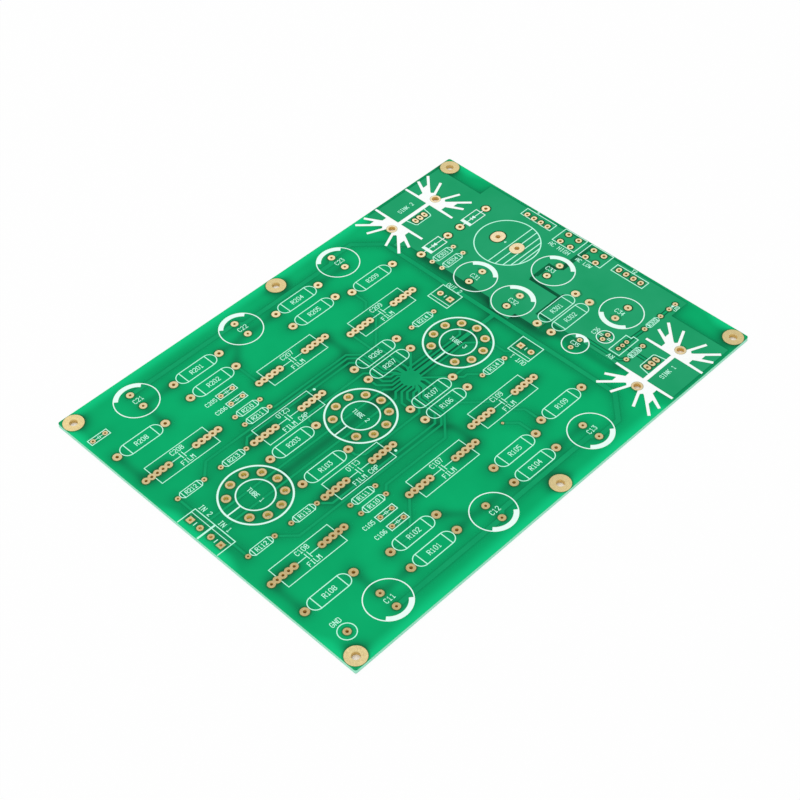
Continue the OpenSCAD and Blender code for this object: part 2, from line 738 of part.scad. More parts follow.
module supply_can_outlines() {
    printed(concat([concat(tall_supply_points, bead_points)], [can_hole, [can_land, can_land], 0])) {
        for (can = supply_cans)
            translate(can[0]) rotate(can[1]) can_ring(can_d, arc_depth, 51);
        translate(small_can_at) can_ring(small_can_d, arc_depth, 37);
        translate(bead_at) {
            ring(bead_d, fine_line);
            for (s = [-1, 1]) intersection() {
                circle(d = bead_d, $fn = ring_fn);
                translate([s * 0.4, 0]) square([hair_line, bead_d], center = true);
            }
        }
    }
}

// The reservoir's lower half is hatched: the lines leave the rim at equal angles.
module reservoir_outline() {
    hatch_from = 7.2;
    hatch_step = 13.2;
    printed(reservoir_kind) translate(reservoir_at) {
        ring(reservoir_d, fine_line + 0.1);
        intersection() {
            circle(d = reservoir_d, $fn = ring_fn);
            for (k = [0:4])
                translate([0, -reservoir_d / 2 * sin(hatch_from + k * hatch_step)])
                    square([reservoir_d, fine_line + 0.05], center = true);
        }
    }
}

// One half of a finned heatsink seen from its end: a root plate, a straight fin,
// a forked fin and a single fin above the middle, and the same below it
module sink_half() {
    tip = sink_reach;
    upper = [
        [8.1, tip], [9.1, tip], [9.3, 6.3], [11.5, 6.3], [15.1, tip - 0.1],
        [16.1, tip - 0.6], [14.1, 8.4], [16.4, 8.4], [20.4, tip - 0.4],
        [21.2, tip - 1.2], [14.3, 4.6], [13.9, 3.9], [14.8, 3.1], [21, 5.8],
        [21.4, 4.8], [13.3, 1.2],
    ];
    polygon(concat(upper, [for (p = backwards(upper)) [p.x, -p.y]]));
}

module sink_outline(at) {
    printed(sink_kind) translate(at) {
        sink_half();
        mirror([1, 0]) sink_half();
        square([16.4, sink_plate], center = true);
    }
}

// The transistor's tapered tab meets the heatsink's cross plate.
module transistor_outlines() {
    depth = 5.9;
    printed(transistor_kind) for (at = sink_at)
        translate(at) mirror([0, at.y > 0 ? 1 : 0]) {
            difference() {
                polygon([[-5.2, sink_plate / 2], [5.2, sink_plate / 2],
                         [4.4, depth - 0.7], [3.8, depth], [-3.8, depth],
                         [-4.4, depth - 0.7]]);
                polygon([[-4.8, sink_plate / 2 - 1], [-4.8, sink_plate / 2],
                         [-4.05, depth - 0.8], [-3.6, depth - 0.35],
                         [3.6, depth - 0.35], [4.05, depth - 0.8],
                         [4.8, sink_plate / 2], [4.8, sink_plate / 2 - 1]]);
            }
        }
}

// The pointed end of the sign faces the band, as the current flows.
module diode_sign(size, line) {
    polygon([[-size / 2, 0], [size / 2, size / 2], [size / 2, -size / 2]]);
    translate([-size / 2, 0]) square([line, size], center = true);
}

module rectifier_outlines() {
    printed(diode_kind) for (at = diode_at) translate(at) {
        frame([diode_body_l, diode_body_w], fine_line);
        translate([-diode_body_l / 2 + 0.9, 0])
            square([1.2, diode_body_w], center = true);
        bar([-diode_pitch / 2, 0], [diode_pitch / 2, 0], fine_line);
        diode_sign(1.8, fine_line);
    }
}

module input_terminal_outline() {
    depth = 8.4;
    height = 20.9;
    end = 0.2; // the print stops just short of the board's edge
    printed(input_kind) translate([-edge_x, 0]) {
        for (s = SIDES)
            bar([end, s * (height - fine_line) / 2], [depth, s * (height - fine_line) / 2],
                fine_line);
        bar([end, 0], [depth, 0], bold_line);
        bar([depth - fine_line / 2, -height / 2], [depth - fine_line / 2, height / 2],
            fine_line);
        for (x = [6.5, 7])
            bar([x, -height / 2], [x, height / 2], hair_line);
        for (s = SIDES)
            bar([input_inset - 0.9, s * 5.3], [input_inset + 0.9, s * 5.3], fine_line);
    }
}

module output_terminal_outlines() {
    printed(output_kind) for (at = output_at) translate(at) {
        translate([-0.1, 0]) frame([8.9, 10.4], fine_line);
        for (x = [-2.9, -2.4]) bar([x, -5.2], [x, 5.2], hair_line);
        bar([-0.8, 0], [0.8, 0], fine_line);
    }
}

module transformer_strip_outlines() {
    printed(strip_kind) for (at = strip_at)
        translate(at + [at.y > 0 ? 0.8 : 0, 0])
            frame([4.6, 3 * strip_pitch + 4.9], fine_line);
}

module supply_block_outlines() {
    printed(block_kind) for (s = SIDES)
        translate([edge_x - strip_inset - 0.25, s * 6.6 + 0.1])
            frame([8.8, block_pitch + 6.3], fine_line);
}

module trimmer_outline() {
    step = [[-5.15, -2.6], [6.35, -2.6], [6.35, 0.1], [5.15, 0.1], [5.15, 2.6], [-5.15, 2.6]];
    inner = [[-1, -1], [1, -1], [1, 1], [1, 1], [1, 1], [-1, 1]];
    printed(trimmer_kind) translate(trimmer_at) difference() {
        polygon(step);
        polygon([for (i = [0:len(step) - 1]) step[i] - fine_line * inner[i]]);
    }
}

module lamp_outline() {
    printed(lamp_kind) translate(lamp_at) diode_sign(1.4, hair_line);
}

module ground_outline() {
    printed(ground_kind) translate(ground_at) ring(6.9, fine_line);
}

board();
top_tracks();
supply_pours();
bottom_tracks();
plated(mount_kind);  // mounting_pads
plated(socket_kinds[0]);  // socket_1_pads
plated(socket_kinds[1]);  // socket_2_pads
plated(socket_kinds[2]);  // socket_3_pads
plated(power_kind);  // power_resistor_pads
plated(small_kind);  // small_resistor_pads
plated(film_kind);  // film_capacitor_pads
plated(ceramic_kind);  // ceramic_capacitor_pads
plated(channel_can_kind);  // channel_can_pads
union() {  // supply_can_pads
    plated(supply_can_kind);
    plated(bead_kind);
}
plated(reservoir_kind);  // reservoir_pads
plated(sink_kind);  // heatsink_pads
plated(transistor_kind);  // transistor_pads
plated(diode_kind);  // rectifier_pads
plated(input_kind);  // input_terminal_pads
plated(output_kind);  // output_terminal_pads
plated(strip_kind);  // transformer_strip_pads
plated(block_kind);  // supply_block_pads
plated(trimmer_kind);  // trimmer_pads
plated(lamp_kind);  // lamp_pads
plated(ground_kind);  // ground_pad
plated(via_kind);  // via
socket_outline(0);  // socket_1_outline
socket_outline(1);  // socket_2_outline
socket_outline(2);  // socket_3_outline
power_resistor_outlines();
small_resistor_outlines();
film_capacitor_outlines();
ceramic_capacitor_outlines();
channel_can_outlines();
supply_can_outlines();
reservoir_outline();
sink_outline(sink_at[1]);  // heatsink_1_outline
sink_outline(sink_at[0]);  // heatsink_2_outline
transistor_outlines();
rectifier_outlines();
input_terminal_outline();
output_terminal_outlines();
transformer_strip_outlines();
supply_block_outlines();
trimmer_outline();
lamp_outline();
ground_outline();
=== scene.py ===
from math import cos, pi, radians, sin

import bpy
import numpy as np
from mathutils import Matrix, Vector
from mathutils.bvhtree import BVHTree
from mathutils.geometry import delaunay_2d_cdt
from mathutils.kdtree import KDTree


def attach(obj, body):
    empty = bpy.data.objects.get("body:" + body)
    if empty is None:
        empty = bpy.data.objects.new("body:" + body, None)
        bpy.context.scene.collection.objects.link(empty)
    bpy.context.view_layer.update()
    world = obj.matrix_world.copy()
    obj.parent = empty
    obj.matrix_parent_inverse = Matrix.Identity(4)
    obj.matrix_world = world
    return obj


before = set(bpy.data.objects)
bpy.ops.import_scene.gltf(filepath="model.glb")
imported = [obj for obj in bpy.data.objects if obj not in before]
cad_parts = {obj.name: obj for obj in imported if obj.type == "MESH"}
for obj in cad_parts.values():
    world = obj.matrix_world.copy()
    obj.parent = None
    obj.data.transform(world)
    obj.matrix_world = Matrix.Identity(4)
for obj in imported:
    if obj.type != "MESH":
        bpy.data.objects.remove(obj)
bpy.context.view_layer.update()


# Laminate
# The board is glass cloth in epoxy resin, sawn to size and drilled. Its sawn edge
# is pale, and its underside is coated with the same green solder mask as its top.

MM = 0.001
BOARD_TOP = 1.6 * MM
LAND_TOP = 1.65 * MM
HALF_LENGTH = 101.6
HALF_WIDTH = 76.2


def colour(red, green, blue):
    """A colour as a screen shows it, 0 to 255, turned linear for the shader."""
    shares = (red / 255, green / 255, blue / 255)
    return tuple(
        c / 12.92 if c <= 0.04045 else ((c + 0.055) / 1.055) ** 2.4 for c in shares
    ) + (1.0,)


def put(tree, kind, inputs=None, **settings):
    """Adds a node and fills its sockets with values, or with links from other nodes."""
    node = tree.nodes.new(kind)
    for name, value in settings.items():
        setattr(node, name, value)
    for name, value in (inputs or {}).items():
        if isinstance(value, bpy.types.NodeSocket):
            tree.links.new(value, node.inputs[name])
        else:
            node.inputs[name].default_value = value
    return node


def maths(tree, operation, *values):
    """Adds a Math node, and returns its result."""
    node = put(tree, "ShaderNodeMath", dict(enumerate(values)), operation=operation)
    return node.outputs[0]


def ease(tree, value, low, high):
    """0 below low and 1 above high, with a soft change between them."""
    node = put(tree, "ShaderNodeMapRange",
               {"Value": value, "From Min": low, "From Max": high},
               interpolation_type="SMOOTHSTEP")
    return node.outputs["Result"]


def tint(tree, share, first, second):
    """The first colour where share is 0, and the second where it is 1."""
    node = put(tree, "ShaderNodeMix", {0: share, 6: first, 7: second}, data_type="RGBA")
    return node.outputs[2]


def millimetres(tree):
    """Object coordinates in millimetres."""
    place = put(tree, "ShaderNodeTexCoord").outputs["Object"]
    node = put(tree, "ShaderNodeVectorMath", {0: place, "Scale": 1 / MM}, operation="SCALE")
    return node.outputs[0]


def split(tree, vector):
    """The x, y and z of a vector."""
    return put(tree, "ShaderNodeSeparateXYZ", {0: vector}).outputs


def shader_group(name, inputs, output):
    """A shared group of nodes, to be filled: its tree, its inputs and its output."""
    tree = bpy.data.node_groups.new(name, "ShaderNodeTree")
    for label, socket_kind, value in inputs:
        socket = tree.interface.new_socket(label, in_out="INPUT", socket_type=socket_kind)
        if value is not None:
            socket.default_value = value
    tree.interface.new_socket(output, in_out="OUTPUT", socket_type="NodeSocketFloat")
    start, end = tree.nodes.new("NodeGroupInput"), tree.nodes.new("NodeGroupOutput")
    return tree, start.outputs, end.inputs


def use(tree, group, inputs):
    """Adds a shared group of nodes, and returns its one output."""
    return put(tree, "ShaderNodeGroup", inputs, node_tree=group).outputs[0]


def new_material(name, specular, **fixed):
    """A material with its principled shader, whose constant values are set here."""
    material = bpy.data.materials.new(name)
    material.use_nodes = True
    shader = material.node_tree.nodes["Principled BSDF"]
    shader.inputs["Specular IOR Level"].default_value = specular
    for label, value in fixed.items():
        shader.inputs[label].default_value = value
    return material, material.node_tree, shader


def cover(node_name, material):
    """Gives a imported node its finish. Its mesh and its place stay as they are."""
    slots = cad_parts[node_name].data.materials
    slots.clear()
    slots.append(material)


# Slow changes of shade, as liquid resin and lacquer leave them
mottle, given, result = shader_group("mottle", [
    ("Position", "NodeSocketVector", None),
    ("Patch size", "NodeSocketFloat", 20.0),
    ("Low", "NodeSocketFloat", 0.0),
    ("High", "NodeSocketFloat", 1.0),
], "Value")
patch = put(mottle, "ShaderNodeTexNoise", {
    "Vector": given["Position"],
    "Scale": maths(mottle, "DIVIDE", 1.0, given["Patch size"]),
    "Detail": 3.0, "Roughness": 0.55,
})
spread = put(mottle, "ShaderNodeMapRange", {
    "Value": patch.outputs["Fac"], "From Min": 0.3, "From Max": 0.7,
    "To Min": given["Low"], "To Max": given["High"],
})
mottle.links.new(spread.outputs["Result"], result["Value"])

# Plain weave: threads of glass cloth that pass over and under each other
weave, given, result = shader_group("glass_weave", [
    ("Position", "NodeSocketVector", None),
    ("Thread pitch", "NodeSocketFloat", 0.8),
], "Height")
along = split(weave, given["Position"])
waves = []
for axis in (0, 1):
    half_turns = maths(weave, "DIVIDE", along[axis], given["Thread pitch"])
    wave = maths(weave, "SINE", maths(weave, "MULTIPLY", half_turns, pi))
    waves.append(maths(weave, "MULTIPLY", wave, 0.5))
weave.links.new(maths(weave, "ADD", *waves), result["Height"])

# How close a point lies to the board's edge, as the share of a painted glow of light
# soaking through the laminate: 1 on the edge, 0 from Reach inwards.
# Copper that runs along an edge holds back the glow, as if the edge lay so many
# millimetres further off. It does so at both ends, but not near the middle of the
# input end, and along the supply's sides. It starts and stops softly between two
# distances from the board's middle.
END_COPPER = 3.2
END_COPPER_STARTS = (12.0, 24.0)
END_COPPER_STOPS = (54.0, 64.0)
SUPPLY_COPPER = 5.0
SUPPLY_COPPER_STARTS = (50.0, 57.0)
edge_glow, given, result = shader_group("edge_glow", [
    ("Position", "NodeSocketVector", None),
    ("Reach", "NodeSocketFloat", 4.0),
], "Share")
place = split(edge_glow, given["Position"])
x_size, y_size = [maths(edge_glow, "ABSOLUTE", place[axis]) for axis in (0, 1)]
past_start = maths(edge_glow, "MAXIMUM", ease(edge_glow, y_size, *END_COPPER_STARTS),
                   maths(edge_glow, "GREATER_THAN", place[0], 0.0))
past_stop = ease(edge_glow, y_size, *END_COPPER_STOPS)
beside_end = maths(edge_glow, "MULTIPLY", maths(edge_glow, "SUBTRACT", 1.0, past_stop),
                   past_start)
beside_supply = ease(edge_glow, place[0], *SUPPLY_COPPER_STARTS)
inset = maths(edge_glow, "MINIMUM",
              maths(edge_glow, "MULTIPLY_ADD", beside_end, END_COPPER,
                    maths(edge_glow, "SUBTRACT", HALF_LENGTH, x_size)),
              maths(edge_glow, "MULTIPLY_ADD", beside_supply, SUPPLY_COPPER,
                    maths(edge_glow, "SUBTRACT", HALF_WIDTH, y_size)))
edge_glow.links.new(
    maths(edge_glow, "SUBTRACT", 1.0, ease(edge_glow, inset, 0.0, given["Reach"])),
    result["Share"])

laminate, tree, shader = new_material("laminate", specular=0.3)
place = millimetres(tree)
facing = split(tree, put(tree, "ShaderNodeTexCoord").outputs["Normal"])[2]
height = split(tree, place)[2]
under_mask = tint(tree, use(tree, mottle, {"Position": place, "Patch size": 30.0}),
                  colour(6, 150, 92), colour(8, 166, 102))
# Painted glow: the underside is lighter near its rim, where light soaks through the laminate
under_mask = tint(tree, use(tree, edge_glow, {"Position": place}),
                  under_mask, colour(20, 190, 120))
# The sawn edge shows the cloth's layers, and a trace of mask along its top.
layers = put(tree, "ShaderNodeTexWave", {
    "Vector": place, "Scale": 1.6, "Distortion": 1.5, "Detail": 2.0, "Detail Scale": 2.0,
}, bands_direction="Z")
sawn = tint(tree, layers.outputs["Fac"], colour(146, 240, 202), colour(180, 246, 220))
top_trace = ease(tree, height, 1.3, 1.58)
sawn = tint(tree, top_trace, sawn, colour(40, 200, 136))
# Painted shade: upward faces of the laminate, seen in the narrow gaps round lands, get a dark
# colour for the shade in those recesses
painted_recess_shade = colour(74, 96, 42)
face = tint(tree, ease(tree, facing, -0.6, -0.4), under_mask, sawn)
face = tint(tree, ease(tree, facing, 0.4, 0.6), face, painted_recess_shade)
tree.links.new(face, shader.inputs["Base Color"])
tree.links.new(use(tree, mottle, {"Position": place, "Patch size": 6.0,
                                  "Low": 0.42, "High": 0.55}),
               shader.inputs["Roughness"])
cloth = put(tree, "ShaderNodeBump", {
    "Height": use(tree, weave, {"Position": place}),
    "Strength": 0.08, "Distance": 0.02 * MM,
})
tree.links.new(cloth.outputs["Normal"], shader.inputs["Normal"])
cover("board", laminate)


# Copper under the mask
# Tracks on both faces and supply areas on the top are etched from copper foil. They
# lie flush with the laminate, and the green mask over them looks lighter and greyer.

masked_copper = {}
for name, dark, light in (
    ("masked_track", colour(12, 156, 98), colour(24, 168, 108)),
    ("masked_pour", colour(24, 154, 98), colour(38, 164, 112)),
):
    masked_copper[name], tree, shader = new_material(name, specular=0.3)
    place = millimetres(tree)
    shade = tint(tree, use(tree, mottle, {"Position": place, "Patch size": 14.0}),
                 dark, light)
    tree.links.new(shade, shader.inputs["Base Color"])
    tree.links.new(use(tree, mottle, {"Position": place, "Patch size": 5.0,
                                      "Low": 0.36, "High": 0.5}),
                   shader.inputs["Roughness"])
cover("top_tracks", masked_copper["masked_track"])
cover("bottom_tracks", masked_copper["masked_track"])
cover("supply_pours", masked_copper["masked_pour"])


# Solder mask
# A film of green lacquer, printed over the whole component side and opened round
# each land. It drapes over the copper, and is darkest where copper blocks the light
# that soaks through the laminate beside it.

FILM_RISE = 0.004 * MM
COPPER_RISE = 0.014 * MM
SHOULDER = 0.8 * MM
# Spacing of the film's points, and of its rows, and the longest step of an outline
GRID = 1.0 * MM
ROW_STEP = GRID * 0.866
LONGEST_STEP = 0.8 * MM
# Cell of the map of the light under the film, in millimetres
CELL = 0.4
BARE, TRACK, POUR = 0, 1, 2


def level_faces(node_name, height, facing=1):
    """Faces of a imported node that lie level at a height, as flat points."""
    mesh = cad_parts[node_name].data
    for face in mesh.polygons:
        if face.normal.z * facing > 0.9 and abs(face.center.z - height) < 0.001 * MM:
            yield [mesh.vertices[v].co.xy for v in face.vertices]


def openings_and_pockets():
    """The outlines of the laminate's top face: its rim, and each pocket for copper."""
    corners, order, uses = {}, [], {}
    for face in level_faces("board", BOARD_TOP):
        loop = []
        for point in face:
            key = (round(point.x / MM * 1e4), round(point.y / MM * 1e4))
            if key not in corners:
                corners[key] = len(order)
                order.append(Vector(point))
            loop.append(corners[key])
        for a, b in zip(loop, loop[1:] + loop[:1]):
            uses[min(a, b), max(a, b)] = uses.get((min(a, b), max(a, b)), 0) + 1
    edges = [pair for pair, times in uses.items() if times == 1]
    kept = {old: new for new, old in enumerate(sorted({i for pair in edges for i in pair}))}
    return [order[i] for i in kept], [(kept[a], kept[b]) for a, b in edges]


def short_steps(points, edges):
    """Adds points along the edges, and returns the shorter edges between them."""
    steps = []
    for a, b in edges:
        count = int((points[a] - points[b]).length / LONGEST_STEP) + 1
        chain = [a, *range(len(points), len(points) + count - 1), b]
        points += [points[a].lerp(points[b], k / count) for k in range(1, count)]
        steps += zip(chain, chain[1:])
    return steps


def inner_points(rim):
    """A honeycomb of points over the board, clear of the outlines."""
    near = KDTree(len(rim))
    for i, point in enumerate(rim):
        near.insert((point.x, point.y, 0), i)
    near.balance()
    rows = int(2 * HALF_WIDTH * MM / ROW_STEP)
    for row in range(rows):
        y = (row + 0.5 - rows / 2) * ROW_STEP
        start = -HALF_LENGTH * MM + (0.25 + 0.5 * (row % 2)) * GRID
        for k in range(int(2 * HALF_LENGTH * MM / GRID)):
            point = Vector((start + k * GRID, y))
            if near.find((point.x, point.y, 0))[2] > 0.5 * GRID:
                yield point


def flat_cover(faces):
    """A test for whether a flat point, in metres, lies on any of some level faces."""
    points, loops = [], []
    for face in faces:
        loops.append(range(len(points), len(points) + len(face)))
        points += [(p.x, p.y, 0) for p in face]
    tree = BVHTree.FromPolygons(points, loops)
    return lambda x, y: tree.ray_cast((x, y, MM), (0, 0, -1))[0] is not None


# Where the supply foil shows otherwise than it is packed: it ends behind the
# heatsinks' fins and left of a can, and runs on between the rectifiers and beside
# that can. Each box is its lower left and upper right corner in millimetres.
FOIL_ENDS = [(40, -75.6, 57.6, -49), (40, 55.5, 52.8, 75.6), (69.4, -11.2, 70.9, 3.7)]
FOIL_RUNS_ON = [(68.7, 42.2, 71.2, 45.2), (70.9, -11.2, 72.8, 2.8)]


def foil_shows(pour):
    """A test for where the supply foil shows through the film."""
    def within(x, y, boxes):
        return any(a < x / MM < c and b < y / MM < d for a, b, c, d in boxes)

    return lambda x, y: (within(x, y, FOIL_RUNS_ON)
                         or pour(x, y) and not within(x, y, FOIL_ENDS))


# The middle of the board gets a little less light than its long edges
MIDDLE_LOSS = 0.08
MIDDLE_REACH = 45


def light_through(points):
    """How much light soaks through the laminate at each point: 1 far from all copper,
    and less where copper on either face lies around it, or far from the long edges.
    Each kind of copper has its spread in millimetres, and the share that it takes."""
    lands = [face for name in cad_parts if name.endswith("_pads")
             for face in level_faces(name, LAND_TOP)]
    columns, rows = round(2 * HALF_LENGTH / CELL), round(2 * HALF_WIDTH / CELL)
    away = np.abs((np.arange(rows) + 0.5) * CELL - HALF_WIDTH)
    loss = MIDDLE_LOSS * np.clip(1 - away / MIDDLE_REACH, 0, 1)
    light = np.ones((rows, columns)) - loss[:, None]
    for covered, spread, strength in (
        (flat_cover(lands), 2.2, 1.0),
        (flat_cover(level_faces("top_tracks", BOARD_TOP)), 2.2, 0.48),
        (foil_shows(flat_cover(level_faces("supply_pours", BOARD_TOP))), 2.4, 0.4),
        (flat_cover(level_faces("bottom_tracks", 0, -1)), 1.2, 0.25),
    ):
        share = np.array([[covered(((i + 0.5) * CELL - HALF_LENGTH) * MM,
                                   ((j + 0.5) * CELL - HALF_WIDTH) * MM)
                           for i in range(columns)] for j in range(rows)], dtype=float)
        reach = np.arange(-round(3 * spread / CELL), round(3 * spread / CELL) + 1) * CELL
        weights = np.exp(-0.5 * (reach / spread) ** 2)
        weights /= weights.sum()
        for axis in (0, 1):
            share = np.apply_along_axis(np.convolve, axis, share, weights, "same")
        light -= strength * share
    # Each point takes the weighted mean of the four cells round it
    u = (np.array([p.x for p in points]) / MM + HALF_LENGTH) / CELL - 0.5
    v = (np.array([p.y for p in points]) / MM + HALF_WIDTH) / CELL - 0.5
    u, v = np.clip(u, 0, columns - 1.001), np.clip(v, 0, rows - 1.001)
    i, j = u.astype(int), v.astype(int)
    near = light[j, i] * (1 - (u - i)) + light[j, i + 1] * (u - i)
    far = light[j + 1, i] * (1 - (u - i)) + light[j + 1, i + 1] * (u - i)
    return near * (1 - (v - j)) + far * (v - j)


def inside_rim(point):
    """Whether a point lies more than 0.05 mm inside the board's edge."""
    return (abs(point.x) < (HALF_LENGTH - 0.05) * MM
            and abs(point.y) < (HALF_WIDTH - 0.05) * MM)


def edge_lines(name, points, edges):
    """A mesh of loose edges, without those on the board's rim."""
    lines = bpy.data.meshes.new(name)
    inner = [(a, b) for a, b in edges if inside_rim(points[a]) and inside_rim(points[b])]
    lines.from_pydata([(p.x, p.y, BOARD_TOP) for p in points], inner, [])
    return lines


def mask_film():
    """The flat film, the outlines of the copper under it, and its openings at lands."""
    rim, edges = openings_and_pockets()
    for a, b, c, d in FOIL_ENDS + FOIL_RUNS_ON:
        first = len(rim)
        rim += [Vector((x * MM, y * MM)) for x, y in ((a, b), (c, b), (c, d), (a, d))]
        edges += [(first + k, first + (k + 1) % 4) for k in range(4)]
    edges = short_steps(rim, edges)
    points = rim + list(inner_points(rim))
    flat, _, faces = delaunay_2d_cdt(points, edges, [], 0, 1e-5 * MM, False)[:3]
    board, tracks, pour = [flat_cover(level_faces(name, BOARD_TOP))
                           for name in ("board", "top_tracks", "supply_pours")]
    tests = ((POUR, foil_shows(pour)), (TRACK, tracks), (BARE, board), (BARE, pour))
    kept, under = [], []
    for face in faces:
        middle = sum((flat[i] for i in face), Vector((0, 0))) / 3
        kind = next((kind for kind, covered in tests if covered(*middle)), None)
        if kind is not None:
            a, b, c = (flat[i] for i in face)
            kept.append(face if (b - a).cross(c - a) > 0 else face[::-1])
            under.append(kind)
    mesh = bpy.data.meshes.new("solder_mask")
    mesh.from_pydata([(p.x, p.y, BOARD_TOP) for p in flat], [], kept)
    for label, kind in (("copper", TRACK), ("pour", POUR)):
        mesh.attributes.new(label, "FLOAT", "FACE").data.foreach_set(
            "value", [float(k == kind) for k in under])
    light = mesh.attributes.new("light", "FLOAT", "POINT")
    light.data.foreach_set("value", light_through(flat))
    mesh.update()
    beside = {}
    for face, kind in zip(kept, under):
        for pair in zip(face, face[1:] + face[:1]):
            beside.setdefault(tuple(sorted(pair)), []).append(kind)
    opened = [pair for pair, kinds in beside.items() if len(kinds) == 1]
    outlined = [pair for pair, kinds in beside.items() if len(set(kinds)) == 2]
    return (mesh, edge_lines("copper_outlines", flat, outlined + opened),
            edge_lines("openings", flat, opened))


def geometry_tree(name, inputs):
    """A tree of geometry nodes, to be filled: its tree, its inputs and its output."""
    tree = bpy.data.node_groups.new(name, "GeometryNodeTree")
    tree.interface.new_socket("Geometry", in_out="INPUT", socket_type="NodeSocketGeometry")
    for label, kind in inputs:
        tree.interface.new_socket(label, in_out="INPUT", socket_type=kind)
    tree.interface.new_socket("Geometry", in_out="OUTPUT", socket_type="NodeSocketGeometry")
    start, end = tree.nodes.new("NodeGroupInput"), tree.nodes.new("NodeGroupOutput")
    return tree, start.outputs, end.inputs


def grown(name, data, tree, values):
    """Runs a geometry tree on some data, and returns the result as a plain mesh object."""
    source = bpy.data.objects.new(name + "_source", data)
    bpy.context.scene.collection.objects.link(source)
    modifier = source.modifiers.new("nodes", "NODES")
    modifier.node_group = tree
    for socket in tree.interface.items_tree:
        if socket.in_out == "INPUT" and socket.name in values:
            modifier[socket.identifier] = values[socket.name]
    ready = source.evaluated_get(bpy.context.evaluated_depsgraph_get())
    mesh = bpy.data.meshes.new_from_object(ready)
    bpy.data.objects.remove(source)
    mesh.name = name
    piece = bpy.data.objects.new(name, mesh)
    bpy.context.scene.collection.objects.link(piece)
    return piece


drape, given, result = geometry_tree("mask_drape", [
    ("Copper outlines", "NodeSocketObject"),
    ("Openings", "NodeSocketObject"),
    ("Film rise", "NodeSocketFloat"),
    ("Copper rise", "NodeSocketFloat"),
    ("Shoulder", "NodeSocketFloat"),
    ("Material", "NodeSocketMaterial"),
])
here = put(drape, "GeometryNodeInputPosition").outputs[0]
to_outline, to_land = [
    put(drape, "GeometryNodeProximity", {
        0: put(drape, "GeometryNodeObjectInfo", {"Object": given[label]}).outputs["Geometry"],
        "Sample Position": here,
    }, target_element="EDGES").outputs["Distance"]
    for label in ("Copper outlines", "Openings")
]
flow = given["Geometry"]
for label, distance in (("edge_mm", to_outline), ("land_mm", to_land)):
    flow = put(drape, "GeometryNodeStoreNamedAttribute",
               {"Geometry": flow, "Name": label,
                "Value": maths(drape, "DIVIDE", distance, MM)},
               data_type="FLOAT", domain="POINT").outputs[0]
metal = [
    put(drape, "GeometryNodeInputNamedAttribute", {"Name": label},
        data_type="FLOAT").outputs["Attribute"]
    for label in ("copper", "pour")
]
shoulder = put(drape, "ShaderNodeMapRange", {
    "Value": to_outline, "From Min": 0.0, "From Max": given["Shoulder"],
    "To Min": 1.0, "To Max": 0.0,
}).outputs["Result"]
raised = maths(drape, "MAXIMUM", shoulder, maths(drape, "ADD", *metal))
lift = maths(drape, "MULTIPLY_ADD", raised, given["Copper rise"], given["Film rise"])
offset = put(drape, "ShaderNodeCombineXYZ", {2: lift}).outputs[0]
flow = put(drape, "GeometryNodeSetPosition", {"Geometry": flow, "Offset": offset}).outputs[0]
flow = put(drape, "GeometryNodeSetMaterial",
           {"Geometry": flow, "Material": given["Material"]}).outputs[0]
whole = put(drape, "GeometryNodeRealizeInstances", {0: flow}).outputs[0]
drape.links.new(whole, result[0])

# Least light under the film, at which it is painted darkest, and how far each painted
# tint goes: painted shade beside the edge of copper, a painted glow along the board's rim,
# and painted shade round a land
LEAST_LIGHT = 0.57
FLANK_PAINTED_SHADE = 0.22
RIM_PAINTED_GLOW = 0.92
RING_PAINTED_SHADE = 0.5


def stored(tree, label):
    """A value that the film's mesh carries at each point or face."""
    return put(tree, "ShaderNodeAttribute", attribute_name=label).outputs["Fac"]


mask, tree, shader = new_material("solder_mask", specular=0.01)
place = millimetres(tree)
# Painted shade: the bare film is darker where less light soaks through the laminate
openness = put(tree, "ShaderNodeMapRange", {
    "Value": stored(tree, "light"), "From Min": LEAST_LIGHT, "From Max": 1.0,
}).outputs["Result"]
lit = tint(tree, use(tree, mottle, {"Position": place, "Patch size": 25.0}),
           colour(8, 166, 102), colour(11, 177, 110))
bare = tint(tree, openness, colour(13, 79, 53), lit)
# Painted shade along each edge of copper under the film
flank_shade = maths(tree, "SUBTRACT", 1.0, ease(tree, stored(tree, "edge_mm"), 0.1, 0.8))
bare = tint(tree, maths(tree, "MULTIPLY", flank_shade, FLANK_PAINTED_SHADE), bare, colour(8, 96, 60))
# Painted glow near the board's rim, where light soaks through the laminate
glow = use(tree, edge_glow, {"Position": place, "Reach": 5.0})
bare = tint(tree, maths(tree, "MULTIPLY", glow, RIM_PAINTED_GLOW), bare, colour(16, 202, 130))
track = tint(tree, use(tree, mottle, {"Position": place, "Patch size": 18.0}),
             colour(14, 154, 98), colour(22, 164, 105))
pour = tint(tree, use(tree, mottle, {"Position": place, "Patch size": 22.0}),
            colour(28, 156, 101), colour(40, 163, 111))
green = tint(tree, stored(tree, "copper"), bare, track)
green = tint(tree, stored(tree, "pour"), green, pour)
# Painted shade in a ring round each land
land_ring_shade = maths(tree, "SUBTRACT", 1.0, ease(tree, stored(tree, "land_mm"), 0.1, 0.9))
green = tint(tree, maths(tree, "MULTIPLY", land_ring_shade, RING_PAINTED_SHADE), green, colour(30, 92, 48))
tree.links.new(green, shader.inputs["Base Color"])
tree.links.new(use(tree, mottle, {"Position": place, "Patch size": 7.0,
                                  "Low": 0.38, "High": 0.5}),
               shader.inputs["Roughness"])
lacquer = put(tree, "ShaderNodeBump", {
    "Height": use(tree, weave, {"Position": place}),
    "Strength": 0.06, "Distance": 0.02 * MM,
})
tree.links.new(lacquer.outputs["Normal"], shader.inputs["Normal"])

